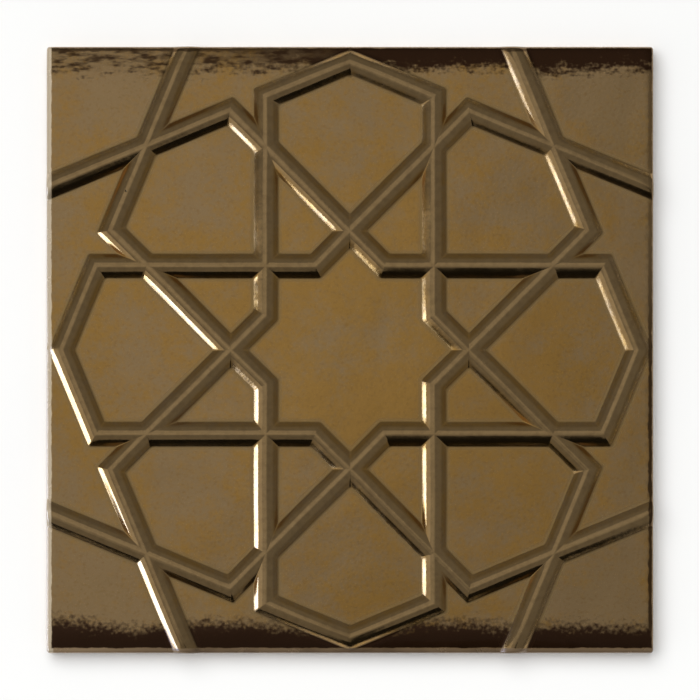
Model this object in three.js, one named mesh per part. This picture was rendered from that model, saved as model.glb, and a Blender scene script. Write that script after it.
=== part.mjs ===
// Square glazed ceramic wall tile with a raised geometric star pattern.
// Millimetres. The tile lies flat on its back: +Z leaves the glazed face and +Y is the top of the pattern.
// The origin is the centre of the underside.
import * as THREE from "three";
import { mergeVertices } from "three/addons/utils/BufferGeometryUtils.js";

// Body of the tile
const tileSide = 200;
const bodyThickness = 8; // from the underside to the flat ground between the straps
const borderRadius = 1; // rounding between the glazed face and the sides
const borderFacets = 3;
const backChamfer = 0.6; // around the underside
const endRollWidth = 8.5; // the face sinks gently over this width at the top and bottom borders
const endRollDrop = 0.8; // how far it has sunk at the border
const endRollLines = [2.4, 4.4, 6.4, endRollWidth]; // the sinking face is bent along these, in from the border

// Pattern: eight petals around an eight-pointed star, drawn by straps of one height that cross on the level.
// The sizes are between middle lines of straps. The star takes what the petals leave.
const apexMargin = 5; // from a petal's apex to the border
const petalRoofRise = 11.5; // from the shoulders of a petal up to its apex
const petalSideRun = 16.6; // along a petal's side from its last crossing to its shoulder

// Section of a strap: a round crest, straight flanks and a hollow foot that lies down on the ground
const strapHalfWidth = 4.3; // middle line to the end of the hollow foot
const crestRadius = 4;
const flankSlope = THREE.MathUtils.degToRad(42);
const footRadius = 0.6;
const crestFacets = 4; // on each side of the middle line
const footFacets = 2;

const half = tileSide / 2;
const faceHalf = half - borderRadius;
const petalApex = half - apexMargin;
const petalShoulder = petalApex - petalRoofRise;
const starHalfSide = (petalShoulder - petalSideRun) / (1 + Math.SQRT2); // centre to each side of the star squares
const roofAngle = Math.atan(petalRoofRise / starHalfSide);

// The straps of a corner petal's roof run on through its apex and leave the tile at this distance from the
// middle of a border, leaning by this much for each millimetre outwards.
const exitLean = Math.tan(Math.PI / 4 - roofAngle);
const strapExit = petalApex * Math.SQRT1_2 - (faceHalf - petalApex * Math.SQRT1_2) * exitLean;

// The crest ends and the hollow foot begins at these distances from a strap's middle line.
const crestEdge = crestRadius * Math.sin(flankSlope);
const footStart = strapHalfWidth - footRadius * Math.sin(flankSlope);
const crestFall = crestRadius * (1 - Math.cos(flankSlope));
const footRise = footRadius * (1 - Math.cos(flankSlope));
const strapHeight = crestFall + (footStart - crestEdge) * Math.tan(flankSlope) + footRise;

// Height of a strap above the ground at a distance from its middle line.
function strapProfile(distance) {
  if (distance >= strapHalfWidth) return 0;
  if (distance >= footStart) return footRadius - Math.sqrt(footRadius ** 2 - (strapHalfWidth - distance) ** 2);
  if (distance >= crestEdge) return footRise + (footStart - distance) * Math.tan(flankSlope);
  return strapHeight - crestRadius + Math.sqrt(crestRadius ** 2 - distance ** 2);
}

// Distances from the middle line at which a strap's facets meet. One of them is where the outer side of a
// petal's apex reaches the edge of the face, so that this corner of the face is a corner of the facets too.
function facetDistances() {
  const distances = [];
  for (let i = 0; i <= crestFacets; i += 1) {
    distances.push(crestRadius * Math.sin(flankSlope * (i / crestFacets)));
  }
  for (let i = 0; i <= footFacets; i += 1) {
    distances.push(strapHalfWidth - footRadius * Math.sin(flankSlope * (1 - i / footFacets)));
  }
  const toCorner = (faceHalf - petalApex) * Math.cos(roofAngle);
  if (toCorner >= strapHalfWidth) return distances;
  const isKept = (distance) => distance === strapHalfWidth || Math.abs(distance - toCorner) > 0.05;
  return [...distances.filter(isKept), toCorner].sort((a, b) => a - b);
}

// How far the face has sunk below the level of the ground by the gentle roll at its two ends.
function endDrop(y) {
  const inward = THREE.MathUtils.clamp(half - Math.abs(y), 0, endRollWidth);
  return endRollDrop * (1 - inward / endRollWidth) ** 2;
}

// A point turned about the centre by a number of eighths of a turn, from +Y towards +X.
function turned(x, y, eighths) {
  return new THREE.Vector2(x, y).rotateAround(new THREE.Vector2(0, 0), (-eighths * Math.PI) / 4);
}

// The places where straps meet or bend, for the petal that stands a number of eighths from +Y.
const starPoint = (k) => turned(0, starHalfSide * Math.SQRT2, k);
const starNotch = (k) => turned(starHalfSide, starHalfSide * Math.tan(Math.PI / 8), k - 1);
const petalCrossing = (k) => turned(starHalfSide, starHalfSide * (1 + Math.SQRT2), k);
const rightShoulder = (k) => turned(starHalfSide, petalShoulder, k);
const leftShoulder = (k) => turned(-starHalfSide, petalShoulder, k);
const apex = (k) => turned(0, petalApex, k);

// A panel is the region between straps: its corners in order, and for each edge to the next corner whether a
// strap runs along it. The other edges lie on the edge of the face or on a line of symmetry.
function panel(corners, strapEdges) {
  return { corners, strapEdges: strapEdges ?? corners.map(() => true) };
}

function turnedPanel({ corners, strapEdges }, eighths) {
  return { corners: corners.map((c) => turned(c.x, c.y, eighths)), strapEdges };
}

function mirroredPanel({ corners, strapEdges }) {
  const edges = [...strapEdges];
  const last = edges.pop();
  return {
    corners: corners.map((c) => new THREE.Vector2(-c.x, c.y)).reverse(),
    strapEdges: [...edges.reverse(), last],
  };
}

function allPanels() {
  const around = [0, 1, 2, 3, 4, 5, 6, 7];
  const star = panel(around.flatMap((k) => [starPoint(-k), starNotch(-k - 1)]));
  const petals = around.map((k) =>
    panel([starPoint(k), petalCrossing(k), rightShoulder(k), apex(k), leftShoulder(k), petalCrossing(k - 1)]),
  );
  const kites = around.map((k) => panel([starNotch(k), starPoint(k + 1), petalCrossing(k), starPoint(k)]));

  const cornerApex = apex(1);
  const topEnd = new THREE.Vector2(strapExit, faceHalf);
  const rightEnd = new THREE.Vector2(faceHalf, strapExit);
  const corner = panel(
    [cornerApex, rightEnd, new THREE.Vector2(faceHalf, faceHalf), topEnd],
    [true, false, false, true],
  );
  const side = panel(
    [new THREE.Vector2(0, faceHalf), apex(0), rightShoulder(0), petalCrossing(0), leftShoulder(1), cornerApex, topEnd],
    [false, true, true, true, true, true, false],
  );
  const quarters = [0, 2, 4, 6];
  return [
    star,
    ...petals,
    ...kites,
    ...quarters.map((k) => turnedPanel(corner, k)),
    ...quarters.map((k) => turnedPanel(side, k)),
    ...quarters.map((k) => turnedPanel(mirroredPanel(side), k)),
  ];
}

// Where two lines meet, each given by a point and a direction.
function meeting(p, u, q, v) {
  const t = q.clone().sub(p).cross(v) / u.cross(v);
  return p.clone().addScaledVector(u, t);
}

// A panel's corners once its strap edges have moved in by a distance. A corner that would pass the edge of the
// face stays on it, where its strap edge meets it.
function ringOf({ corners, strapEdges }, distance) {
  const count = corners.length;
  const lines = corners.map((corner, i) => {
    const direction = corners[(i + 1) % count].clone().sub(corner).normalize();
    const inward = new THREE.Vector2(-direction.y, direction.x);
    return { point: corner.clone().addScaledVector(inward, strapEdges[i] ? distance : 0), direction };
  });
  const isOnFaceEdge = (line) => Math.max(Math.abs(line.point.x), Math.abs(line.point.y)) > faceHalf - 1e-6;
  const crossing = (a, b) => meeting(a.point, a.direction, b.point, b.direction);
  const ring = lines.map((line, i) => crossing(lines[(i + count - 1) % count], line));
  for (let i = 0; i < count; i += 1) {
    const next = (i + 1) % count;
    const before = lines[(i + count - 1) % count];
    const after = lines[next];
    const isSymmetryLine = !strapEdges[i] && !isOnFaceEdge({ point: corners[i].clone().lerp(corners[next], 0.5) });
    if (!isSymmetryLine) continue;
    const outside = Math.max(
      Math.max(Math.abs(ring[i].x), Math.abs(ring[i].y)),
      Math.max(Math.abs(ring[next].x), Math.abs(ring[next].y)),
    );
    if (outside <= faceHalf + 1e-6) continue;
    const place = crossing(before, after);
    ring[i] = place;
    ring[next] = place.clone();
  }
  return ring;
}

// The glazed face before its ends sink, as flat facets with three or four corners each: along every strap,
// and over the flat ground inside each panel.
function faceFacets() {
  const distances = facetDistances();
  const facets = [];
  for (const shape of allPanels()) {
    const rings = distances.map((distance) =>
      ringOf(shape, distance).map((p) => new THREE.Vector3(p.x, p.y, bodyThickness + strapProfile(distance))),
    );
    for (let r = 0; r + 1 < rings.length; r += 1) {
      for (let i = 0; i < shape.corners.length; i += 1) {
        const j = (i + 1) % shape.corners.length;
        if (shape.strapEdges[i]) facets.push([rings[r][i], rings[r][j], rings[r + 1][j], rings[r + 1][i]]);
      }
    }
    const ground = withoutRepeats(rings[rings.length - 1]);
    const middle = ground.reduce((sum, p) => sum.add(p), new THREE.Vector3()).divideScalar(ground.length);
    ground.forEach((p, i) => facets.push([middle, p, ground[(i + 1) % ground.length]]));
  }
  return facets.map(withoutRepeats);
}

function withoutRepeats(points) {
  return points.filter((p, i) => p.distanceTo(points[(i + 1) % points.length]) > 1e-4);
}

// Cuts every facet that the line y = level crosses, so that the face can bend along the line.
function cutAlong(facets, level) {
  const near = 0.02;
  const sideOf = (p) => (Math.abs(p.y - level) < near ? 0 : Math.sign(p.y - level));
  return facets.flatMap((facet) => {
    const sides = facet.map(sideOf);
    if (!sides.includes(1) || !sides.includes(-1)) return [facet];
    const above = [];
    const below = [];
    facet.forEach((p, i) => {
      const j = (i + 1) % facet.length;
      if (sides[i] >= 0) above.push(p);
      if (sides[i] <= 0) below.push(p);
      if (sides[i] * sides[j] === -1) {
        const [low, high] = p.y < facet[j].y ? [p, facet[j]] : [facet[j], p];
        const cut = low.clone().lerp(high, (level - low.y) / (high.y - low.y)).setY(level);
        above.push(cut);
        below.push(cut);
      }
    });
    return [above, below];
  });
}

// Triangles over a facet, all from its first corner.
function fan(facet) {
  return facet.slice(2).map((p, i) => [facet[0], facet[i + 1], p]);
}

const isThin = ([a, b, c]) => b.clone().sub(a).cross(c.clone().sub(a)).length() < 1e-6;

// The corners along the open edge of a surface, in order.
function openEdge(geometry) {
  const index = geometry.index.array;
  const next = new Map();
  const used = new Set();
  for (let t = 0; t < index.length; t += 3) {
    for (let k = 0; k < 3; k += 1) used.add(index[t + k] + ">" + index[t + ((k + 1) % 3)]);
  }
  for (const edge of used) {
    const [a, b] = edge.split(">");
    if (!used.has(b + ">" + a)) next.set(Number(a), Number(b));
  }
  const loop = [];
  let at = next.keys().next().value;
  while (loop.length < next.size) {
    loop.push(new THREE.Vector3().fromBufferAttribute(geometry.attributes.position, at));
    at = next.get(at);
  }
  return loop;
}

// The way in which the rounded border leaves each point of the face's edge: square to that edge on the ground,
// along the strap where one runs off the tile, and fanned out at the four corners.
function borderDirections(loop) {
  const exitHalfWidth = strapHalfWidth * Math.hypot(1, exitLean);
  const directions = [];
  for (const point of loop) {
    const onX = Math.abs(Math.abs(point.x) - faceHalf) < 1e-4;
    const onY = Math.abs(Math.abs(point.y) - faceHalf) < 1e-4;
    if (onX && onY) {
      const middle = Math.atan2(point.y, point.x);
      for (let i = 0; i <= borderFacets; i += 1) {
        const angle = middle + (Math.PI / 2) * (i / borderFacets - 0.5);
        directions.push({ point, out: new THREE.Vector2(Math.cos(angle), Math.sin(angle)) });
      }
      continue;
    }
    const out = onX ? new THREE.Vector2(Math.sign(point.x), 0) : new THREE.Vector2(0, Math.sign(point.y));
    const along = onX ? point.y : point.x;
    const isStrap = Math.abs(Math.abs(along) - strapExit) < exitHalfWidth + 1e-3;
    if (isStrap && onX) out.y = -Math.sign(along) * exitLean;
    if (isStrap && !onX) out.x = -Math.sign(along) * exitLean;
    directions.push({ point, out });
  }
  return directions;
}

// The whole tile as one closed surface.
function tileGeometry() {
  let facets = faceFacets();
  for (const inward of endRollLines) {
    facets = cutAlong(cutAlong(facets, half - inward), inward - half);
  }
  const sunken = (p) => new THREE.Vector3(p.x, p.y, p.z - endDrop(p.y));
  const face = facets.flatMap((facet) => fan(facet.map(sunken)));
  const edge = borderDirections(openEdge(weldedGeometry(face)));

  const rings = [];
  for (let i = 0; i <= borderFacets; i += 1) {
    const angle = (Math.PI / 2) * (i / borderFacets);
    const reach = borderRadius * Math.sin(angle);
    const sunk = borderRadius * (1 - Math.cos(angle));
    rings.push(
      edge.map(({ point, out }) => {
        const y = point.y + out.y * reach;
        const level = point.z + endDrop(point.y) - endDrop(y) - sunk;
        return new THREE.Vector3(point.x + out.x * reach, y, level);
      }),
    );
  }
  const outline = rings[borderFacets];
  rings.push(outline.map((p) => new THREE.Vector3(p.x, p.y, backChamfer)));
  const tuck = (half - backChamfer) / half;
  const underside = outline.map((p) => new THREE.Vector3(p.x * tuck, p.y * tuck, 0));
  rings.push(underside);

  const triangles = [...face];
  for (let r = 0; r + 1 < rings.length; r += 1) {
    for (let i = 0; i < edge.length; i += 1) {
      const j = (i + 1) % edge.length;
      triangles.push(...fan([rings[r + 1][i], rings[r + 1][j], rings[r][j], rings[r][i]]));
    }
  }
  const middle = new THREE.Vector3(0, 0, 0);
  for (let i = 0; i < underside.length; i += 1) {
    triangles.push([middle, underside[(i + 1) % underside.length], underside[i]]);
  }
  return weldedGeometry(triangles.filter((triangle) => !isThin(triangle)));
}

function weldedGeometry(triangles) {
  const positions = triangles.flat().flatMap((p) => p.toArray());
  const geometry = new THREE.BufferGeometry();
  geometry.setAttribute("position", new THREE.Float32BufferAttribute(positions, 3));
  return mergeVertices(geometry, 1e-3);
}

const glaze = new THREE.MeshStandardMaterial({
  name: "glaze",
  color: new THREE.Color().setRGB(0.514, 0.4, 0.227, THREE.SRGBColorSpace),
  roughness: 0.22,
  metalness: 0.25,
  flatShading: true,
});

const reliefTile = new THREE.Mesh(tileGeometry(), glaze);
reliefTile.name = "relief_tile";

const part = new THREE.Group();
part.name = "star_relief_tile";
part.add(reliefTile);

export default part;
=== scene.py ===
"""Square glazed wall tile with a raised star pattern.

Metres. The tile lies flat on its back: +Z leaves the glazed face and +Y is the top of the pattern. The
origin is the middle of the underside.
"""
import logging
import math
from collections import Counter
from dataclasses import dataclass
from enum import Enum

import bpy
import numpy as np
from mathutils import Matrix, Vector, noise
from mathutils.geometry import delaunay_2d_cdt


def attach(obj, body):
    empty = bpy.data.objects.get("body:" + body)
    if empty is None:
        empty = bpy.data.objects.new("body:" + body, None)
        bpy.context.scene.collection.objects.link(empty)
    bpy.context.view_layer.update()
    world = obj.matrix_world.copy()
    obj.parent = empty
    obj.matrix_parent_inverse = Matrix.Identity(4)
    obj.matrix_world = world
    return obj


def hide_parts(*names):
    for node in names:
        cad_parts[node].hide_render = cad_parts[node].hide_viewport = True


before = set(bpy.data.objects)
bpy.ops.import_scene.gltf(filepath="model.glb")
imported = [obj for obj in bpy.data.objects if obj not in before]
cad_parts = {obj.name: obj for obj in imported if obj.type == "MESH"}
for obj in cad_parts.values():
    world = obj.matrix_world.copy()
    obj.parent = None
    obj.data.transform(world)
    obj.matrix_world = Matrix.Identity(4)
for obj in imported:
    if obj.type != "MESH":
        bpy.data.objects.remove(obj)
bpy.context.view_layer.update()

log = logging.getLogger("relief_tile")

MM = 0.001  # one millimetre
EIGHTH_TURN = math.pi / 4
SAME_PLACE = 0.002 * MM
ROUNDING = 1e-9
EDGE_ROUNDING = 1e-7

Colour = tuple[float, float, float, float]
Triple = tuple[float, float, float]
Socket = bpy.types.NodeSocket


class Finish(Enum):
    """The two surfaces of the fired tile, by material slot number."""

    GLAZE = 0
    BISCUIT = 1


@dataclass(frozen=True)
class StrapSection:
    """The raised strap cut across: a round crest, straight flanks and a hollow foot."""

    half_width: float = 4.3 * MM
    crest_radius: float = 4 * MM
    flank_slope: float = math.radians(42)
    foot_radius: float = 0.6 * MM
    crest_steps: int = 8
    flank_steps: int = 3
    foot_steps: int = 4
    apron: tuple[float, ...] = (0.25 * MM, 0.6 * MM, 1.1 * MM, 1.7 * MM)
    least_gap: float = 0.05 * MM
    # Where the lighter colour that paints a highlight at the strap's foot peaks, and how wide it is
    painted_glow_distance: float = 4.35 * MM
    painted_glow_width: float = 0.75 * MM

    @property
    def crest_edge(self) -> float:
        """Distance from the middle line to where the crest ends."""
        return self.crest_radius * math.sin(self.flank_slope)

    @property
    def foot_start(self) -> float:
        """Distance from the middle line to where the hollow foot begins."""
        return self.half_width - self.foot_radius * math.sin(self.flank_slope)

    @property
    def foot_rise(self) -> float:
        """Height that the hollow foot takes up."""
        return self.foot_radius * (1 - math.cos(self.flank_slope))

    @property
    def height(self) -> float:
        """Height of the middle line above the ground."""
        crest_fall = self.crest_radius * (1 - math.cos(self.flank_slope))
        flank_fall = (self.foot_start - self.crest_edge) * math.tan(self.flank_slope)
        return crest_fall + flank_fall + self.foot_rise

    def level(self, distance: float) -> float:
        """Height of the strap's surface above the ground.

        Args:
            distance: how far from the middle line.

        Returns:
            The height, which is zero past the foot.
        """
        if distance >= self.half_width:
            return 0.0
        if distance >= self.foot_start:
            return self.foot_radius - math.sqrt(self.foot_radius**2 - (self.half_width - distance) ** 2)
        if distance >= self.crest_edge:
            return self.foot_rise + (self.foot_start - distance) * math.tan(self.flank_slope)
        return self.height - self.crest_radius + math.sqrt(self.crest_radius**2 - distance**2)

    def lines(self, must_have: float) -> list[float]:
        """Distances from the middle line at which rows of points run along a strap.

        Args:
            must_have: a distance that has to be one of them.

        Returns:
            The distances in rising order, ending on the flat ground beside the strap.
        """
        crest = [
            self.crest_radius * math.sin(self.flank_slope * i / self.crest_steps)
            for i in range(self.crest_steps)
        ]
        flank = list(np.linspace(self.crest_edge, self.foot_start, self.flank_steps + 1))
        foot = [
            self.half_width - self.foot_radius * math.sin(self.flank_slope * (1 - i / self.foot_steps))
            for i in range(1, self.foot_steps + 1)
        ]
        apron = [self.half_width + step for step in self.apron]
        found = crest + flank + foot + apron
        kept = [d for d in found if d == self.half_width or abs(d - must_have) > self.least_gap]
        return sorted([float(d) for d in kept] + [must_have])


@dataclass(frozen=True)
class Panel:
    """A region between straps: its corners in order, and for each edge whether a strap runs along it."""

    corners: list[Vector]
    strap_edges: list[bool]

    def turned(self, eighths: int) -> "Panel":
        """The same panel turned about the centre by a number of eighths of a turn."""
        return Panel([turned(c, eighths) for c in self.corners], self.strap_edges)

    def mirrored(self) -> "Panel":
        """The same panel on the other side of the upright middle line."""
        edges = self.strap_edges[:-1][::-1] + self.strap_edges[-1:]
        return Panel([Vector((-c.x, c.y)) for c in reversed(self.corners)], edges)


def placed(name: str, data: bpy.types.ID) -> bpy.types.Object:
    """A new object in the scene with this mesh, lamp or camera.

    Args:
        name: the object's name.
        data: the mesh, lamp or camera.

    Returns:
        The object.
    """
    made = bpy.data.objects.new(name, data)
    bpy.context.scene.collection.objects.link(made)
    return made


def turned(point: Vector, eighths: int) -> Vector:
    """A point turned about the centre by a number of eighths of a turn, from +Y towards +X."""
    cos, sin = math.cos(-eighths * EIGHTH_TURN), math.sin(-eighths * EIGHTH_TURN)
    return Vector((point.x * cos - point.y * sin, point.x * sin + point.y * cos))


def cross(a: Vector, b: Vector) -> float:
    """The cross product of two flat vectors."""
    return a.x * b.y - a.y * b.x


@dataclass(frozen=True)
class StarPattern:
    """Eight petals around an eight-pointed star, drawn by straps that cross on one level."""

    face_half: float
    apex: float
    roof_rise: float = 11.5 * MM
    side_run: float = 16.6 * MM
    corner_trim: float = 0.9 * MM
    corner_points: int = 5
    step: float = 3 * MM

    @property
    def shoulder(self) -> float:
        """Distance from the centre to the shoulders of a petal, along the petal."""
        return self.apex - self.roof_rise

    @property
    def star_half(self) -> float:
        """Distance from the centre to each side of the two squares that make the star."""
        return (self.shoulder - self.side_run) / (1 + math.sqrt(2))

    @property
    def roof_angle(self) -> float:
        """Slope of a petal's roof."""
        return math.atan(self.roof_rise / self.star_half)

    @property
    def exit_lean(self) -> float:
        """How much a strap that runs off the tile leans for each unit outwards."""
        return math.tan(EIGHTH_TURN - self.roof_angle)

    @property
    def strap_exit(self) -> float:
        """Distance from the middle of a border to where a strap runs off the tile."""
        reach = self.apex * math.sqrt(0.5)
        return reach - (self.face_half - reach) * self.exit_lean

    @property
    def apex_to_edge(self) -> float:
        """Distance from a petal's roof at which its outer side reaches the edge of the face."""
        return (self.face_half - self.apex) * math.cos(self.roof_angle)

    def panels(self) -> list[Panel]:
        """Every region between straps, from the star outwards.

        Returns:
            The panels of the whole face.
        """
        a = self.star_half

        def ring_of(x: float, y: float, back: int = 0) -> list[Vector]:
            """Eight copies of a corner, one in each petal's direction or some eighths back from it."""
            return [turned(Vector((x, y)), k - back) for k in range(8)]

        points = ring_of(0, a * math.sqrt(2))
        notches = ring_of(a, a * math.tan(EIGHTH_TURN / 2), 1)
        crossings = ring_of(a, a * (1 + math.sqrt(2)))
        right_shoulders = ring_of(a, self.shoulder)
        left_shoulders = ring_of(-a, self.shoulder)
        apexes = ring_of(0, self.apex)
        star = [corner for k in range(8) for corner in (points[-k], notches[-k - 1])]
        roofs = zip(right_shoulders, apexes, left_shoulders)
        petals = [[points[k], crossings[k], *roof, crossings[k - 1]] for k, roof in enumerate(roofs)]
        kites = [[notches[k], points[k - 7], crossings[k], points[k]] for k in range(8)]
        found = [Panel(corners, [True] * len(corners)) for corners in (star, *petals, *kites)]
        edge = self.face_half
        top_end = Vector((self.strap_exit, edge))
        right_end = Vector((edge, self.strap_exit))
        corner = Panel([apexes[1], right_end, Vector((edge, edge)), top_end], [True, False, False, True])
        valley = [right_shoulders[0], crossings[0], left_shoulders[1]]
        side = Panel([Vector((0, edge)), apexes[0], *valley, apexes[1], top_end], [False, *[True] * 5, False])
        for quarter in (0, 2, 4, 6):
            found += [corner.turned(quarter), side.turned(quarter), side.mirrored().turned(quarter)]
        return found

    def ring(self, panel: Panel, distance: float) -> list[Vector]:
        """A panel's corners once its strap edges have moved in.

        Args:
            panel: the region between straps.
            distance: how far the strap edges move in.

        Returns:
            The corners. One that would pass the edge of the face stays on it, where its strap edge meets it.
        """
        count = len(panel.corners)
        lines = []
        for i, corner in enumerate(panel.corners):
            along = (panel.corners[(i + 1) % count] - corner).normalized()
            inward = Vector((-along.y, along.x))
            lines.append((corner + inward * (distance if panel.strap_edges[i] else 0.0), along))

        def meet(first: int, second: int) -> Vector:
            """Where two of the lines meet."""
            (p, u), (q, v) = lines[first % count], lines[second % count]
            return p + u * (cross(q - p, v) / cross(u, v))

        places = [meet(i - 1, i) for i in range(count)]
        for i in range(count):
            j = (i + 1) % count
            middle = (panel.corners[i] + panel.corners[j]) / 2
            on_face_edge = max(abs(middle.x), abs(middle.y)) > self.face_half - ROUNDING
            if panel.strap_edges[i] or on_face_edge:
                continue
            if max(abs(c) for c in (*places[i], *places[j])) > self.face_half + ROUNDING:
                places[i] = places[j] = meet(i - 1, i + 1)
        return places

    def row(self, panel: Panel, distance: float, trim_share: float) -> tuple[list[Vector], list[bool]]:
        """The points of one row around a panel.

        Args:
            panel: the region between straps.
            distance: how far the row runs from the middle lines of the straps.
            trim_share: how much of the full corner rounding this row has.

        Returns:
            The points, as many for each row, and for each point whether strap lies between it and the next.
        """
        ring = self.ring(panel, distance)
        count = len(ring)
        starts, ends = [], []
        for i in range(count):
            rounded = panel.strap_edges[i] and panel.strap_edges[i - 1]
            trim = self.corner_trim * trim_share if rounded else 0.0
            before = (panel.corners[i - 1] - panel.corners[i]).normalized()
            after = (panel.corners[(i + 1) % count] - panel.corners[i]).normalized()
            ends.append(ring[i] + before * trim)
            starts.append(ring[i] + after * trim)
        points, is_strap = [], []
        for i in range(count):
            j = (i + 1) % count
            for k in range(self.corner_points):
                t = k / (self.corner_points - 1)
                points.append(ends[i] * (1 - t) ** 2 + ring[i] * (2 * t * (1 - t)) + starts[i] * t**2)
            length = (panel.corners[j] - panel.corners[i]).length
            parts = max(1, round(length / self.step))
            points += [starts[i].lerp(ends[j], k / parts) for k in range(1, parts)]
            is_strap += [True] * (self.corner_points - 1) + [panel.strap_edges[i]] * parts
        return points, is_strap


class Surface:
    """A growing mesh whose points are shared wherever they lie on one another."""

    def __init__(self) -> None:
        """Starts with no points and no faces."""
        self.points: list[Vector] = []
        self.marks: list[Triple] = []
        self.faces: list[tuple[int, ...]] = []
        self.finish: list[Finish] = []
        self._known: dict[tuple[float, ...], int] = {}

    def point(self, place: Vector, strap: float = 0.0, foot: float = 0.0, middle: float = 0.0) -> int:
        """The number of the point at a place, which is added if it is new.

        Args:
            place: where the point lies.
            strap: height up a strap, from 0 on the ground to 1 at the crest.
            foot: closeness to the foot of a strap, from 0 to 1, where the glaze gets a painted highlight and
                more roughness.
            middle: distance from the straps, from 0 beside them to 1 on open ground.

        Returns:
            The point's number.
        """
        key = tuple(round(c, 6) + 0.0 for c in place)
        if key not in self._known:
            self._known[key] = len(self.points)
            self.points.append(Vector(place))
            self.marks.append((strap, foot, middle))
        return self._known[key]

    def face(self, corners: list[int], finish: Finish = Finish.GLAZE) -> None:
        """Adds a face, without the corners that fall together.

        Args:
            corners: point numbers, counter-clockwise from outside.
            finish: the finish of the face.
        """
        kept = [c for i, c in enumerate(corners) if c != corners[i - 1]]
        if len(kept) > 2:
            self.faces.append(tuple(kept))
            self.finish.append(finish)

    def band(self, upper: list[int], lower: list[int], finish: Finish = Finish.GLAZE) -> None:
        """Joins two closed rows of points, both counter-clockwise seen from above.

        Args:
            upper: point numbers of the inner or higher row.
            lower: point numbers of the outer or lower row.
            finish: the finish of the faces.
        """
        count = len(upper)
        for i in range(count):
            j = (i + 1) % count
            self.face([lower[i], lower[j], upper[j], upper[i]], finish)

    def open_edge(self) -> list[int]:
        """The points along the open edge, in the order in which the faces run along it.

        Returns:
            The points' numbers.
        """
        used = {(f[i - 1], f[i]) for f in self.faces for i in range(len(f))}
        following = {a: b for a, b in used if (b, a) not in used}
        start = next(iter(following))
        loop = [start]
        while following[loop[-1]] != start:
            loop.append(following[loop[-1]])
        return loop

    def loose_edges(self) -> int:
        """How many edges don't lie between exactly two faces."""
        counts = Counter(frozenset((f[i - 1], f[i])) for f in self.faces for i in range(len(f)))
        return sum(1 for count in counts.values() if count != 2)

    def made(self, name: str, finishes: list[bpy.types.Material]) -> bpy.types.Object:
        """The surface as a smooth object in the scene.

        Args:
            name: name of the object.
            finishes: the material of each finish, by slot number.

        Returns:
            The object.
        """
        mesh = bpy.data.meshes.new(name)
        mesh.from_pydata([tuple(p) for p in self.points], [], self.faces)
        for material in finishes:
            mesh.materials.append(material)
        mesh.polygons.foreach_set("material_index", [f.value for f in self.finish])
        mesh.polygons.foreach_set("use_smooth", [True] * len(self.faces))
        for label, values in zip(("strap", "foot", "middle"), zip(*self.marks)):
            mesh.attributes.new(label, "FLOAT", "POINT").data.foreach_set("value", values)
        mesh.update()
        return placed(name, mesh)


def clearances(outline: list[Vector], places: np.ndarray) -> np.ndarray:
    """Distances from a closed outline.

    Args:
        outline: the outline's corners.
        places: the places, one in each row.

    Returns:
        How far each place is from the nearest edge of the outline.
    """
    edge = np.array([(p.x, p.y) for p in outline])
    nearest = np.full(len(places), np.inf)
    for a, b in zip(edge, np.roll(edge, -1, axis=0)):
        run = b - a
        t = np.clip(((places - a) @ run) / (run @ run), 0, 1)
        nearest = np.minimum(nearest, np.linalg.norm(places - (a + t[:, None] * run), axis=1))
    return nearest


def spaced(outline: list[Vector]) -> list[Vector]:
    """A closed outline seen from above, without the points that fall together."""
    return [p.to_2d() for i, p in enumerate(outline) if (p - outline[i - 1]).length > SAME_PLACE]


def filled(
    outline: list[Vector], spacing: float, dice: np.random.Generator
) -> tuple[list[Vector], list[list[int]]]:
    """Covers a flat region with even triangles.

    Args:
        outline: the region's corners, counter-clockwise.
        spacing: distance between the points inside.
        dice: the source of the small scatter of those points.

    Returns:
        The points and the triangles.
    """
    edge = np.array([(p.x, p.y) for p in outline])
    ahead = np.roll(edge, -1, axis=0)
    low, high = edge.min(axis=0), edge.max(axis=0)
    xs = np.arange(low[0], high[0], spacing)
    ys = np.arange(low[1], high[1], spacing * math.sqrt(0.75))
    grid = np.array([(x + spacing / 2 * (row % 2), y) for row, y in enumerate(ys) for x in xs])
    grid = grid + dice.uniform(-0.2 * spacing, 0.2 * spacing, grid.shape)
    inside = np.zeros(len(grid), dtype=bool)
    for a, b in zip(edge, ahead):
        run = b - a
        straddles = (a[1] > grid[:, 1]) != (b[1] > grid[:, 1])
        if abs(run[1]) > 0:
            inside ^= straddles & (grid[:, 0] < a[0] + run[0] * (grid[:, 1] - a[1]) / run[1])
    scattered = [Vector(p) for p in grid[inside & (clearances(outline, grid) > 0.6 * spacing)]]
    corners = [Vector(p) for p in edge]
    region = [list(range(len(corners)))]
    points, _, triangles, *_ = delaunay_2d_cdt(corners + scattered, [], region, 1, EDGE_ROUNDING)
    return points, triangles


@dataclass(frozen=True)
class Amount:
    """A number that a material works out at each place on a surface, and the socket that it comes from."""

    sheet: "NodeSheet"
    socket: Socket

    def __add__(self, other: "Amount | float") -> "Amount":
        """The sum of this number and another."""
        return self.sheet.math("ADD", self, other)

    def __sub__(self, other: "Amount | float") -> "Amount":
        """This number less another."""
        return self.sheet.math("SUBTRACT", self, other)

    def __rsub__(self, other: float) -> "Amount":
        """A plain number less this one."""
        return self.sheet.math("SUBTRACT", other, self)

    def __mul__(self, other: "Amount | float") -> "Amount":
        """The product of this number and another."""
        return self.sheet.math("MULTIPLY", self, other)

    def larger(self, other: "Amount") -> "Amount":
        """The larger of this number and another."""
        return self.sheet.math("MAXIMUM", self, other)

    def held(self) -> "Amount":
        """This number, kept between 0 and 1."""
        return self.sheet.math("ADD", self, 0.0, clamp=True)


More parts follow.
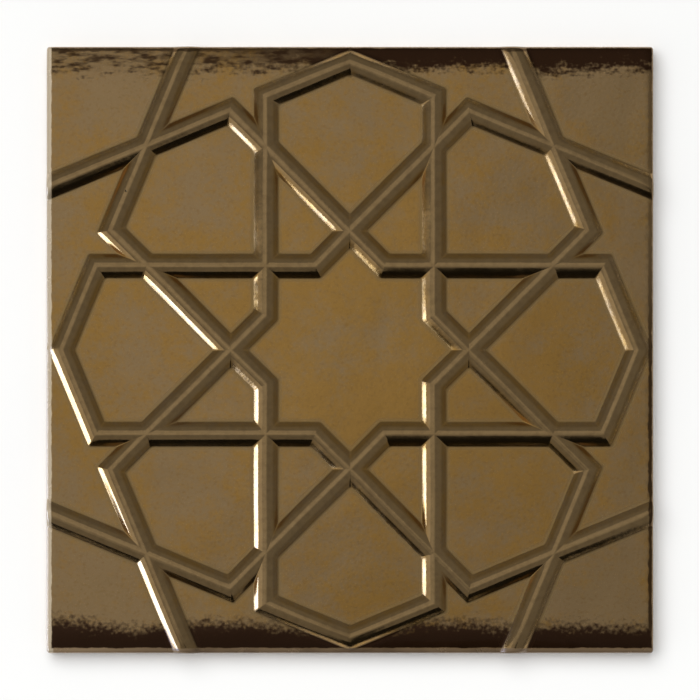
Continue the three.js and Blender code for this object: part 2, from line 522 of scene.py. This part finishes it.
class NodeSheet:
    """A material's nodes, with short ways to add them and join them."""

    def __init__(self, name: str) -> None:
        """Starts a material with one principled shader.

        Args:
            name: name of the material.
        """
        self.material = bpy.data.materials.new(name)
        self.material.use_nodes = True
        self.tree = self.material.node_tree
        self.shader = self.tree.nodes["Principled BSDF"]
        where = self.add("ShaderNodeTexCoord")
        self.place = where.outputs["Object"]
        self.facing = where.outputs["Normal"]

    def add(self, kind: str, **settings: object) -> bpy.types.Node:
        """Adds a node.

        Args:
            kind: Blender's name of the node.
            settings: properties to set on it.

        Returns:
            The node.
        """
        made = self.tree.nodes.new(kind)
        for name, value in settings.items():
            setattr(made, name, value)
        return made

    def give(self, socket: Socket, value: object) -> None:
        """Sets a socket to a plain value or joins it to an amount or another socket."""
        source = value.socket if isinstance(value, Amount) else value
        if isinstance(source, Socket):
            self.tree.links.new(source, socket)
        else:
            socket.default_value = source

    def dress(self, name: str, value: object) -> None:
        """Gives one of the shader's own inputs its value."""
        self.give(self.shader.inputs[name], value)

    def math(self, operation: str, first: object, second: object, clamp: bool = False) -> Amount:
        """A plain operation on two numbers.

        Args:
            operation: Blender's name of the operation.
            first: the first number.
            second: the second number.
            clamp: whether the result is kept between 0 and 1.

        Returns:
            The result.
        """
        made = self.add("ShaderNodeMath", operation=operation, use_clamp=clamp)
        self.give(made.inputs[0], first)
        self.give(made.inputs[1], second)
        return Amount(self, made.outputs[0])

    def spread(
        self, value: object, low: float, high: float, to_low: float = 0.0, to_high: float = 1.0
    ) -> Amount:
        """A smooth step between two levels of a number.

        Args:
            value: the number that is stepped.
            low: level at which the step starts.
            high: level at which it ends.
            to_low: result below the step.
            to_high: result above it.

        Returns:
            The stepped number.
        """
        made = self.add("ShaderNodeMapRange", interpolation_type="SMOOTHSTEP")
        for index, part in enumerate((value, low, high, to_low, to_high)):
            self.give(made.inputs[index], part)
        return Amount(self, made.outputs[0])

    def parts(self, vector: Socket) -> tuple[Amount, ...]:
        """The three parts of a place, direction or colour."""
        made = self.add("ShaderNodeSeparateXYZ")
        self.give(made.inputs[0], vector)
        return tuple(Amount(self, socket) for socket in made.outputs)

    def outward(self) -> Amount:
        """The distance from the middle of the underside."""
        made = self.add("ShaderNodeVectorMath", operation="LENGTH")
        self.give(made.inputs[0], self.place)
        return Amount(self, made.outputs["Value"])

    def stretched(self, scale: Triple) -> Socket:
        """The place on the tile, drawn out or squeezed along each axis.

        Args:
            scale: the stretch along each axis.

        Returns:
            The changed place.
        """
        made = self.add("ShaderNodeMapping")
        self.give(made.inputs["Vector"], self.place)
        self.give(made.inputs["Scale"], scale)
        return made.outputs[0]

    def grain(
        self,
        size: float,
        detail: float = 3.0,
        roughness: float = 0.55,
        place: Socket | None = None,
    ) -> Amount:
        """A cloudy pattern.

        Args:
            size: width of its clouds.
            detail: how many finer layers it has.
            roughness: how strong the finer layers are.
            place: where it is read, which is the place on the tile if it isn't given.

        Returns:
            The pattern, mostly between 0.3 and 0.7.
        """
        made = self.add("ShaderNodeTexNoise")
        self.give(made.inputs["Vector"], place or self.place)
        self.give(made.inputs["Scale"], 1 / size)
        self.give(made.inputs["Detail"], detail)
        self.give(made.inputs["Roughness"], roughness)
        return Amount(self, made.outputs[0])

    def mixed(self, share: Amount, first: object, second: object) -> Socket:
        """A colour between two colours.

        Args:
            share: 0 for the first and 1 for the second.
            first: a colour, plain or worked out.
            second: a colour, plain or worked out.

        Returns:
            The mixed colour.
        """
        made = self.add("ShaderNodeMix", data_type="RGBA")
        self.give(made.inputs[0], share)
        self.give(made.inputs[6], first)
        self.give(made.inputs[7], second)
        return made.outputs[2]

    def attribute(self, name: str) -> Amount:
        """A number that the mesh carries at its points."""
        return Amount(self, self.add("ShaderNodeAttribute", attribute_name=name).outputs["Fac"])

    def bumped(
        self, height: Amount, depth: float, strength: float, below: Socket | None = None
    ) -> Socket:
        """A surface raised and sunk by a pattern.

        Args:
            height: the pattern.
            depth: the height of its full range.
            strength: how much of it shows.
            below: a bumped surface that this one lies on.

        Returns:
            The bumped surface's normal.
        """
        made = self.add("ShaderNodeBump")
        self.give(made.inputs["Strength"], strength)
        self.give(made.inputs["Distance"], depth)
        self.give(made.inputs["Height"], height)
        if below is not None:
            self.give(made.inputs["Normal"], below)
        return made.outputs[0]


class LustreGlaze(NodeSheet):
    """Bronze-brown lustre glaze: mottled, greyer on the crests, pooled at two borders and thin at the rim,
    with painted highlights at the strap feet and on the left rim and a painted shade line inside the top and
    right borders.
    """

    golden: Colour = (0.430, 0.240, 0.061, 1)
    ashen: Colour = (0.385, 0.254, 0.120, 1)
    umber: Colour = (0.325, 0.180, 0.055, 1)
    crest: Colour = (0.375, 0.250, 0.115, 1)
    # Painted highlight: a lighter colour at the strap's foot, where the hollow would mirror the light
    foot: Colour = (0.440, 0.295, 0.130, 1)
    # Dark pooled glaze; also the colour of the painted shade line inside the top and right borders, and of
    # the pits
    pooled: Colour = (0.040, 0.016, 0.0055, 1)
    rim: Colour = (0.270, 0.185, 0.105, 1)
    # Painted highlight: the pale line where the left border's rounding catches the light
    left_rim_highlight: Colour = (0.500, 0.410, 0.290, 1)
    lower_rim: Colour = (0.115, 0.074, 0.040, 1)
    run: Colour = (0.150, 0.085, 0.034, 1)
    run_dark: Colour = (0.100, 0.054, 0.022, 1)
    metallic: float = 0.985
    least_roughness: float = 0.10
    most_roughness: float = 0.16
    coat: tuple[tuple[str, float], ...] = (("Weight", 0.10), ("Roughness", 0.06), ("IOR", 1.5))
    half: float = 100 * MM
    core_top: float = 7.6 * MM
    core_bottom: float = 9.4 * MM
    fade: float = 5.4 * MM
    dotting: float = 7 * MM
    wander: float = 9 * MM
    streaking: float = 9 * MM
    rim_width: float = 0.7 * MM
    lower_rim_width: float = 2.0 * MM
    left_highlight_rim_width: float = 1.9 * MM
    rim_sway: float = 0.9 * MM
    line_width: float = 1.9 * MM
    line_sway: float = 1.2 * MM
    soft_edge: float = 0.5 * MM
    pit_spacing: float = 14 * MM
    pit_chance: float = 0.28

    def __init__(self) -> None:
        """Makes the glaze's material and joins all its nodes."""
        super().__init__("lustre_glaze")
        strap = self.attribute("strap")
        foot = self.attribute("foot")
        rim, side = self.rim_and_side()
        off_rim = 1.0 - rim
        upper, lower = [part * off_rim for part in self.pools(strap)]
        # The pool mask also carries the painted shade line inside the top and right borders
        pool_and_edge_shade = upper.larger(lower).larger(self.edge_shade_line() * off_rim)
        pits = self.pits()

        colour = self.mixed(pool_and_edge_shade, self.open_face(strap, foot), self.pooled)
        colour = self.mixed(rim, colour, self.rim_colour())
        runs = self.grain(1.0, 2.0, 0.5, self.stretched((110, 110, 40)))
        run = self.mixed(self.spread(runs, 0.35, 0.65), self.run, self.run_dark)
        colour = self.mixed(side, colour, run)
        self.dress("Base Color", self.mixed(pits, colour, self.pooled))

        lustre = self.metallic - lower * 0.12 - rim * 0.62 + side * 0.25
        self.dress("Metallic", lustre.held())
        clouds = self.grain(5 * MM, 4.0, 0.65)
        dull = self.spread(clouds, 0.3, 0.7, self.least_roughness, self.most_roughness)
        self.dress("Roughness", dull + pool_and_edge_shade * 0.08 + rim * 0.12 + foot * 0.20)
        for name, value in self.coat:
            self.dress(f"Coat {name}", value)

        waves = self.bumped(self.grain(16 * MM, 1.0), 0.25 * MM, 0.5)
        peel = self.bumped(self.grain(1.6 * MM, 2.0, 0.5), 0.03 * MM, 0.6, waves)
        self.dress("Normal", self.bumped(1.0 - pits, 0.15 * MM, 1.0, peel))

    def open_face(self, strap: Amount, foot: Amount) -> Socket:
        """The colour away from the borders: golden and ashen clouds, with umber specks and a painted
        highlight at the strap feet.

        Args:
            strap: height up a strap.
            foot: closeness to the foot of a strap, where a lighter colour is painted as a highlight.

        Returns:
            The colour.
        """
        broad = self.grain(42 * MM, 2.0)
        middle = self.grain(8 * MM, 4.0, 0.6)
        speckle = self.grain(1.4 * MM, 2.0, 0.6)
        outward = self.outward()
        starward = self.spread(outward, 20 * MM, 50 * MM, -0.06, 0.0)
        edgeward = self.spread(outward, 85 * MM, 115 * MM, 0.0, 0.07)
        mottle = broad * 0.30 + middle * 0.35 + speckle * 0.20
        mottle = mottle - (starward + edgeward) - self.attribute("middle") * 0.045
        colour = self.mixed(self.spread(mottle, 0.31, 0.51), self.ashen, self.golden)
        specks = self.grain(1.1 * MM, 3.0, 0.7)
        colour = self.mixed(self.spread(specks, 0.50, 0.72, 0.0, 0.5), colour, self.umber)
        colour = self.mixed(self.spread(strap, 0.35, 0.95, 0.0, 0.9), colour, self.crest)
        rubbed = self.spread(self.grain(2.6 * MM, 3.0, 0.6), 0.42, 0.66, 0.0, 0.22)
        colour = self.mixed(rubbed * strap, colour, self.run)
        # Painted highlight along the foot of every strap
        return self.mixed(foot * 0.55, colour, self.foot)

    def rim_and_side(self) -> tuple[Amount, Amount]:
        """Where the glaze thins over the rounded border, widened on the left for the painted highlight there,
        and where it runs down the sides.

        Returns:
            1 on the rim and 1 on the sides, and 0 elsewhere.
        """
        across, up, _ = self.parts(self.place)
        lower = (self.lower_rim_width - self.rim_width) - up
        left = (self.left_highlight_rim_width - self.rim_width) - across
        reach = across.larger(left).larger(up.larger(lower))
        reach = reach + (self.grain(4 * MM, 3.0, 0.6) - 0.5) * self.rim_sway
        starts = self.half - self.rim_width
        side = self.spread(self.parts(self.facing)[2], 0.15, 0.55, 1.0, 0.0)
        return self.spread(reach, starts, starts + self.soft_edge).larger(side), side

    def rim_colour(self) -> Socket:
        """The rim's colour: thin glaze, with a painted highlight along the left border, and darker along the
        bottom away from it.

        Returns:
            The colour.
        """
        across, up, _ = self.parts(self.place)
        starts = self.half - self.left_highlight_rim_width
        # Painted highlight along the left border
        left_highlight = self.spread(across, -starts, self.soft_edge - starts, 1.0, 0.0)
        lowest = self.spread(up, -starts, 2 * self.soft_edge - starts, 1.0, 0.0)
        stretches = self.spread(self.grain(22 * MM, 2.0), 0.42, 0.58, 0.55, 1.0)
        rightward = self.spread(across, -90 * MM, -60 * MM)
        thin = self.mixed(rightward * (lowest * stretches), self.rim, self.lower_rim)
        return self.mixed(left_highlight, thin, self.left_rim_highlight)

    def pools(self, strap: Amount) -> tuple[Amount, Amount]:
        """Where the glaze has pooled dark along the top and bottom borders.

        Args:
            strap: height up a strap.

        Returns:
            For the top and the bottom border, 1 where it is fully pooled and 0 on the open face.
        """
        across, up, _ = self.parts(self.place)
        flecks = self.grain(1.0, 2.5, 0.5, self.stretched((200, 640, 200)))
        dots = self.grain(1.3 * MM, 1.0, 0.5)
        drift = self.grain(26 * MM, 2.0)
        ragged = (dots - 0.5) * self.dotting + (drift - 0.5) * self.wander
        streaked = (flecks - 0.5) * self.streaking
        from_top = (self.half - up) + (ragged + streaked)
        from_bottom = (up + self.half) + ragged + streaked * 0.5
        top, bottom = [
            self.spread(inward, core - self.fade / 2, core + self.fade / 2, 1.0, 0.0)
            for inward, core in ((from_top, self.core_top), (from_bottom, self.core_bottom))
        ]
        patches = self.spread(flecks, 0.34, 0.62, 0.90, 0.10)
        leftward = self.spread(across, -70 * MM, 10 * MM, 1.0, 0.0)
        bared = self.spread(strap, 0.02, 0.35, 1.0, 0.1)
        return (top * (1.0 - leftward * (1.0 - patches)) * bared).held(), (bottom * bared).held()

    def edge_shade_line(self) -> Amount:
        """A thin dark line of painted shade inside the rim of the top and right borders.

        Returns:
            The line's strength, which is least beside the upper part of the right border.
        """
        across, up, _ = self.parts(self.place)
        uneven = (self.grain(3 * MM, 2.0) - 0.5) * self.line_sway
        inner = self.half - self.line_width
        right = self.spread(across + uneven, inner, inner + self.soft_edge)
        fading = self.spread(up, -10 * MM, 40 * MM, 0.85, 0.30)
        top = self.spread(up + uneven, inner, inner + self.soft_edge, 0.0, 0.75)
        return (right * fading).larger(top)

    def pits(self) -> Amount:
        """A few tiny pits in the glaze.

        Returns:
            1 inside a pit and 0 elsewhere.
        """
        cells = self.add("ShaderNodeTexVoronoi")
        self.give(cells.inputs["Vector"], self.place)
        self.give(cells.inputs["Scale"], 1 / self.pit_spacing)
        close = self.spread(cells.outputs["Distance"], 0.018, 0.032, 1.0, 0.0)
        chance = self.parts(cells.outputs["Color"])[0]
        return close * self.math("GREATER_THAN", chance, 1 - self.pit_chance)


class BuffBiscuit(NodeSheet):
    """Unglazed buff clay, speckled and matt."""

    clay: Colour = (0.560, 0.420, 0.290, 1)
    warm: Colour = (0.450, 0.300, 0.190, 1)
    grog: Colour = (0.240, 0.170, 0.120, 1)
    least_roughness: float = 0.82
    most_roughness: float = 0.95

    def __init__(self) -> None:
        """Makes the clay's material and joins all its nodes."""
        super().__init__("buff_biscuit")
        cloud = self.grain(12 * MM, 4.0, 0.6)
        colour = self.mixed(self.spread(cloud, 0.35, 0.65), self.clay, self.warm)
        specks = self.spread(self.grain(0.8 * MM, 2.0, 0.6), 0.62, 0.72, 0.0, 0.7)
        self.dress("Base Color", self.mixed(specks, colour, self.grog))
        self.dress("Roughness", self.spread(cloud, 0.3, 0.7, self.least_roughness, self.most_roughness))
        coarse = self.grain(0.6 * MM, 3.0, 0.65)
        self.dress("Normal", self.bumped(coarse, 0.08 * MM, 0.7))


@dataclass
class ReliefTile:
    """The fired tile: its glazed face with the straps, the rounded border, the sides and the underside."""

    side: float = 200 * MM
    thickness: float = 8 * MM
    border_radius: float = 1 * MM
    border_rows: int = 7
    apex_margin: float = 5 * MM
    roll_width: float = 8.5 * MM
    roll_drop: float = 0.8 * MM
    back_chamfer: float = 0.6 * MM
    ground_spacing: float = 1.9 * MM
    back_spacing: float = 9 * MM
    golden_reach: float = 13 * MM
    sway: float = 0.10 * MM
    sway_length: float = 28 * MM
    swell: float = 0.05 * MM
    swell_length: float = 22 * MM
    worn_height: float = 0.04
    worn_length: float = 17 * MM
    true_border: float = 7 * MM
    lean_fade: float = 4 * MM
    glaze_line: float = 3.4 * MM
    glaze_drift: float = 1.0 * MM
    glaze_coat: float = 0.22 * MM
    glaze_lean: float = 0.02 * MM
    glaze_lip: float = 0.3 * MM
    # Shares of the way down to the glaze line, of the coat and the lip, and down to the chamfer
    glazed_rows: tuple[float, ...] = (0.25, 0.5, 0.75, 0.9)
    lip_rows: tuple[tuple[float, float], ...] = ((1 / 11, 0.0), (3 / 11, 0.4), (7 / 11, 0.7), (1.0, 5 / 6))
    bare_rows: tuple[float, ...] = (0.2, 0.5, 0.8, 1.0)
    chamfer_rows: int = 4
    section: StrapSection = StrapSection()
    seed: int = 11

    def __post_init__(self) -> None:
        """Works out what follows from the sizes."""
        self.half = self.side / 2
        self.face_half = self.half - self.border_radius
        self.pattern = StarPattern(self.face_half, self.half - self.apex_margin)
        self.dice = np.random.default_rng(self.seed)
        self.surface = Surface()

    def roll(self, y: float) -> float:
        """How far the face has sunk by the gentle roll at its top and bottom ends."""
        inward = min(max(self.half - abs(y), 0.0), self.roll_width)
        return self.roll_drop * (1 - inward / self.roll_width) ** 2

    def drift(self, place: Vector, length: float, layer: float) -> float:
        """Soft unevenness of this length at a place, mostly between -0.5 and 0.5."""
        return noise.noise(Vector((place.x / length, place.y / length, layer + self.seed)))

    def pressed_face(self) -> None:
        """Builds the straps and the ground between them, flat and true."""
        section = self.section
        distances = section.lines(self.pattern.apex_to_edge)
        for panel in self.pattern.panels():
            rows = []
            for distance in distances:
                share = min(distance / section.half_width, 1.0)
                points, is_strap = self.pattern.row(panel, distance, share**1.5)
                level = section.level(distance)
                # Closeness to the foot, which the glaze lightens as a painted highlight
                foot = math.exp(-(((distance - section.painted_glow_distance) / section.painted_glow_width) ** 2))
                height = self.thickness + level
                rows.append([(Vector((p.x, p.y, height)), level / section.height, foot) for p in points])
            for inner, outer in zip(rows[1:], rows[:-1]):
                for i, strap_here in enumerate(is_strap):
                    if not strap_here:
                        continue
                    j = (i + 1) % len(outer)
                    corners = (outer[i], outer[j], inner[j], inner[i])
                    self.surface.face([self.surface.point(*corner) for corner in corners])
            inner_row = [place for place, _, _ in rows[-1]]
            self.flat(inner_row, self.thickness, self.ground_spacing, Finish.GLAZE)

    def flat(self, outline: list[Vector], level: float, spacing: float, finish: Finish) -> None:
        """Fills a flat region: the ground inside a panel, or the underside, which faces down.

        Args:
            outline: the points around the region.
            level: its height above the floor.
            spacing: distance between the points inside.
            finish: the finish of its faces.
        """
        border = spaced(outline)
        points, triangles = filled(border, spacing, self.dice)
        shares = clearances(border, np.array([(p.x, p.y) for p in points])) / self.golden_reach
        numbers = [
            self.surface.point(Vector((p.x, p.y, level)), middle=min(float(share), 1.0))
            for p, share in zip(points, shares)
        ]
        way = 1 if finish is Finish.GLAZE else -1
        for triangle in triangles:
            self.surface.face([numbers[i] for i in triangle[::way]], finish)

    def hand_made(self) -> None:
        """Gives the true face its small unevenness and the roll at its ends."""
        for i, place in enumerate(self.surface.points):
            inward = self.face_half - max(abs(place.x), abs(place.y))
            fade = min(max(inward / self.true_border, 0.0), 1.0) ** 2
            sway_x = self.drift(place, self.sway_length, 10) * 2 * self.sway * fade
            sway_y = self.drift(place, self.sway_length, 20) * 2 * self.sway * fade
            worn = self.worn_height * (0.5 + self.drift(place, self.worn_length, 30))
            swell = self.swell * 2 * self.drift(place, self.swell_length, 40) * fade
            raised = place.z - self.thickness
            top = self.thickness + raised * (1 - max(worn, 0.0)) + swell * (1 - self.surface.marks[i][0])
            self.surface.points[i] = Vector((place.x + sway_x, place.y + sway_y, top - self.roll(place.y)))

    def border_outs(self, loop: list[int]) -> tuple[list[int], list[Vector]]:
        """The way in which the rounded border leaves each point of the face's edge.

        Args:
            loop: point numbers along the face's edge.

        Returns:
            The point numbers, repeated at the corners where the border fans out, and a direction for each.
        """
        numbers, outs = [], []
        exit_half_width = self.section.half_width * math.hypot(1, self.pattern.exit_lean)
        for number in loop:
            x, y, _ = self.surface.points[number]
            on_x = abs(abs(x) - self.face_half) < EDGE_ROUNDING
            on_y = abs(abs(y) - self.face_half) < EDGE_ROUNDING
            if on_x and on_y:
                middle = math.atan2(y, x)
                for i in range(self.border_rows + 1):
                    angle = middle + math.pi / 2 * (i / self.border_rows - 0.5)
                    numbers.append(number)
                    outs.append(Vector((math.cos(angle), math.sin(angle))))
                continue
            along = y if on_x else x
            beyond = max(abs(abs(along) - self.pattern.strap_exit) - exit_half_width, 0.0)
            lean = -math.copysign(self.pattern.exit_lean, along) * max(1 - beyond / self.lean_fade, 0.0)
            out = (math.copysign(1, x), lean) if on_x else (lean, math.copysign(1, y))
            numbers.append(number)
            outs.append(Vector(out))
        return numbers, outs

    def rounded_border(self) -> tuple[list[int], list[Vector]]:
        """Builds the rounding between the face and the sides.

        Returns:
            The point numbers and the places along the top of the sides.
        """
        numbers, outs = self.border_outs(self.surface.open_edge())
        edge = [self.surface.points[n] for n in numbers]
        upper = numbers
        row = edge
        for step in range(1, self.border_rows + 1):
            angle = math.pi / 2 * step / self.border_rows
            reach = self.border_radius * math.sin(angle)
            sunk = self.border_radius * (1 - math.cos(angle))
            row = []
            for place, out in zip(edge, outs):
                y = place.y + out.y * reach
                level = place.z + self.roll(place.y) - self.roll(y) - sunk
                row.append(Vector((place.x + out.x * reach, y, level)))
            lower = [self.surface.point(p, self.surface.marks[n][0]) for p, n in zip(row, numbers)]
            self.surface.band(upper, lower)
            upper = lower
        return upper, row

    def drawn_in(self, place: Vector, inset: float, level: float) -> Vector:
        """A point of the outline moved in from the sides by the inset, and to another level."""
        share = (self.half - inset) / self.half
        return Vector((place.x * share, place.y * share, level))

    def side_rows(self, outline: list[Vector]) -> list[tuple[float, list[float], Finish]]:
        """The rows of points down the sides, below the rounded border.

        Args:
            outline: the points at the top of the sides.

        Returns:
            For each row its inset, its level at each point, and the finish of the band above it.
        """
        lines = []
        for place in outline:
            broad = self.drift(place, 35 * MM, 50) * 1.4
            close = self.drift(place, 6 * MM, 60) * 0.7
            lines.append(self.glaze_line + self.glaze_drift * (broad + close))
        rows = []
        for share in self.glazed_rows:
            levels = [p.z + (line - p.z) * share for p, line in zip(outline, lines)]
            rows.append((self.glaze_lean * share, levels, Finish.GLAZE))
        for inset, drop in self.lip_rows:
            levels = [line - self.glaze_lip * drop for line in lines]
            rows.append((self.glaze_coat * inset, levels, Finish.GLAZE))
        for share in self.bare_rows:
            starts = [line - self.glaze_lip for line in lines]
            levels = [start + (self.back_chamfer - start) * share for start in starts]
            rows.append((self.glaze_coat, levels, Finish.BISCUIT))
        for step in range(1, self.chamfer_rows + 1):
            angle = math.pi / 2 * step / self.chamfer_rows
            inset = self.glaze_coat + self.back_chamfer * (1 - math.cos(angle))
            levels = [self.back_chamfer * (1 - math.sin(angle))] * len(outline)
            rows.append((inset, levels, Finish.BISCUIT))
        return rows

    def sides(self, upper: list[int], outline: list[Vector]) -> None:
        """Builds the glazed and bare parts of the sides, and the underside.

        Args:
            upper: point numbers at the top of the sides.
            outline: the same points.
        """
        row = outline
        for inset, levels, finish in self.side_rows(outline):
            row = [self.drawn_in(place, inset, level) for place, level in zip(outline, levels)]
            lower = [self.surface.point(place) for place in row]
            self.surface.band(upper, lower, finish)
            upper = lower
        self.flat(row, 0.0, self.back_spacing, Finish.BISCUIT)

    def build(self) -> None:
        """Builds the whole tile and dresses it."""
        self.pressed_face()
        self.hand_made()
        self.sides(*self.rounded_border())
        tile = self.surface.made("fired_tile", [LustreGlaze().material, BuffBiscuit().material])
        counts = (len(self.surface.points), len(self.surface.faces), self.surface.loose_edges())
        log.info("fired_tile: %d points, %d faces, %d loose edges", *counts)
        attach(tile, "root")
        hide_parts("relief_tile")


@dataclass(frozen=True)
class SoftBox:
    """A plain rectangular lamp. Its brightness is what a mirror would show of it."""

    name: str
    middle: Triple
    turn: Triple
    width: float
    height: float
    brightness: float
    tint: Triple = (1.0, 1.0, 1.0)
    lights_floor: bool = True

    def build(self) -> None:
        """Hangs the lamp, out of the camera's sight."""
        data = bpy.data.lights.new(self.name, "AREA")
        data.shape = "RECTANGLE"
        data.size = self.width
        data.size_y = self.height
        data.energy = self.brightness * math.pi * self.width * self.height
        data.color = self.tint
        lamp = placed(self.name, data)
        lamp.location = self.middle
        lamp.rotation_euler = self.turn
        lamp.visible_camera = False
        lamp.visible_diffuse = self.lights_floor


@dataclass
class Studio:
    """The pale floor, the lamps, the dark card and the camera."""

    floor_side: float = 14.0
    floor_shade: Colour = (0.86, 0.86, 0.85, 1)
    floor_light: Colour = (0.88, 0.88, 0.87, 1)
    room_grey: Colour = (0.185, 0.185, 0.185, 1)
    black: Colour = (0.004, 0.004, 0.004, 1)
    camera_height: float = 1.61
    lens: float = 250.0
    sensor: float = 36.0
    layer_width: float = 1.05
    layer_height: float = 1.79
    layer_gap: float = 0.01
    layer_slant: float = math.radians(-30)
    # For each layer how far its edge lies out, its length and its brightness
    layers: tuple[Triple, ...] = ((0.19, 0.22, 0.052), (0.07, 1.90, 0.062), (0.02, 1.90, 0.058))
    window_energy: float = 2.9
    window_angle: float = math.radians(60)
    window_turn: Triple = (math.radians(-20), math.radians(-16), 0)
    dark_distance: float = -0.50
    dark_outline: tuple[tuple[float, float], ...] = (
        *((-0.50, 0.04), (0.30, 0.04), (0.29, 0.38), (0.15, 0.46), (0.13, 1.55)),
        *((0.03, 1.50), (-0.01, 0.42), (-0.12, 0.36), (-0.15, 0.13), (-0.50, 0.14)),
    )

    def floor(self) -> None:
        """Lays the pale floor under the tile."""
        sheet = NodeSheet("pale_floor")
        shade = sheet.spread(sheet.grain(0.35, 3.0), 0.3, 0.7)
        sheet.dress("Base Color", sheet.mixed(shade, self.floor_shade, self.floor_light))
        sheet.dress("Roughness", 0.9)
        reach = self.floor_side / 2
        corners = [(-reach, -reach, 0), (reach, -reach, 0), (reach, reach, 0), (-reach, reach, 0)]
        self.card("floor", corners, sheet.material)

    def card(
        self, name: str, corners: list[tuple[float, ...]], material: bpy.types.Material
    ) -> bpy.types.Object:
        """Sets up a flat shape that isn't part of the tile.

        Args:
            name: name of the shape.
            corners: its corners in order.
            material: its surface.

        Returns:
            The shape.
        """
        mesh = bpy.data.meshes.new(name)
        mesh.from_pydata(corners, [], [tuple(range(len(corners)))])
        mesh.materials.append(material)
        made = placed(name, mesh)
        return made

    def dark_card(self) -> None:
        """Stands a dark cut-out below the picture, which only the glaze mirrors."""
        sheet = NodeSheet("dark_card")
        sheet.dress("Base Color", self.black)
        sheet.dress("Roughness", 1.0)
        sheet.dress("Specular IOR Level", 0.0)
        corners = [(x, self.dark_distance, z) for x, z in self.dark_outline]
        card = self.card("dark_card", corners, sheet.material)
        for sight in ("camera", "diffuse", "shadow", "transmission"):
            setattr(card, f"visible_{sight}", False)

    def ceiling_layers(self) -> list[SoftBox]:
        """Soft boxes whose edges, one past the other, let the light fall away towards the lower right.

        Returns:
            The boxes, from the top layer down.
        """
        slant = self.layer_slant
        layers = []
        for number, (edge, length, brightness) in enumerate(self.layers):
            out = edge - self.layer_width / 2
            height = self.layer_height - self.layer_gap * number
            middle = (out * math.cos(slant), out * math.sin(slant), height)
            name = f"ceiling_layer_{number}"
            layers.append(SoftBox(name, middle, (0, 0, slant), self.layer_width, length, brightness))
        return layers

    def lamps(self) -> None:
        """Hangs the soft boxes and the window light."""
        facing_right = (0, -math.pi / 2, 0)
        blue = (0.72, 0.93, 1.60)
        boxes = (
            SoftBox("ceiling_box", (-0.35, 0.36, 1.80), (0, 0, 0), 1.30, 1.30, 0.122),
            *self.ceiling_layers(),
            SoftBox("left_wall_box", (-1.1, -0.52, 0.925), facing_right, 1.55, 1.16, 0.43),
            SoftBox("low_strip", (-0.55, -0.245, 0.065), facing_right, 0.11, 0.51, 7.5, blue, False),
        )
        for box in boxes:
            box.build()
        data = bpy.data.lights.new("window", "SUN")
        data.energy = self.window_energy
        data.angle = self.window_angle
        window = placed("window", data)
        window.rotation_euler = self.window_turn
        window.visible_glossy = False

    def room(self) -> None:
        """Fills the room with soft grey light, pale where the camera sees past the floor."""
        world = bpy.data.worlds.new("room")
        world.use_nodes = True
        tree = world.node_tree
        grey = tree.nodes["Background"]
        grey.inputs["Color"].default_value = self.room_grey
        add = tree.nodes.new
        join = tree.links.new
        ways = add("ShaderNodeSeparateXYZ")
        join(add("ShaderNodeTexCoord").outputs["Generated"], ways.inputs[0])
        overhead = add("ShaderNodeMapRange")
        overhead.interpolation_type = "SMOOTHSTEP"
        join(ways.outputs["Z"], overhead.inputs[0])
        for index, value in enumerate((0.15, 0.55, 1.0, 1.35), start=1):
            overhead.inputs[index].default_value = value
        join(overhead.outputs[0], grey.inputs["Strength"])
        pale = add("ShaderNodeBackground")
        pale.inputs["Color"].default_value = self.floor_shade
        mix = add("ShaderNodeMixShader")
        join(add("ShaderNodeLightPath").outputs["Is Camera Ray"], mix.inputs[0])
        join(grey.outputs[0], mix.inputs[1])
        join(pale.outputs[0], mix.inputs[2])
        join(mix.outputs[0], tree.nodes["World Output"].inputs[0])
        bpy.context.scene.world = world

    def camera(self) -> None:
        """Hangs the camera straight above the tile."""
        data = bpy.data.cameras.new("camera")
        data.lens = self.lens
        data.sensor_width = self.sensor
        camera = placed("camera", data)
        camera.location = (0, 0, self.camera_height)
        bpy.context.scene.camera = camera

    def build(self) -> None:
        """Sets up the whole studio."""
        self.floor()
        self.dark_card()
        self.lamps()
        self.room()
        self.camera()
        bpy.context.scene.view_settings.view_transform = "Standard"
        log.info("studio: floor, dark card, soft boxes, window light and camera")


def main() -> None:
    """Builds the tile and the studio."""
    logging.basicConfig(level=logging.INFO, format="%(name)s: %(message)s")
    ReliefTile().build()
    Studio().build()


if __name__ == "__main__":
    main()
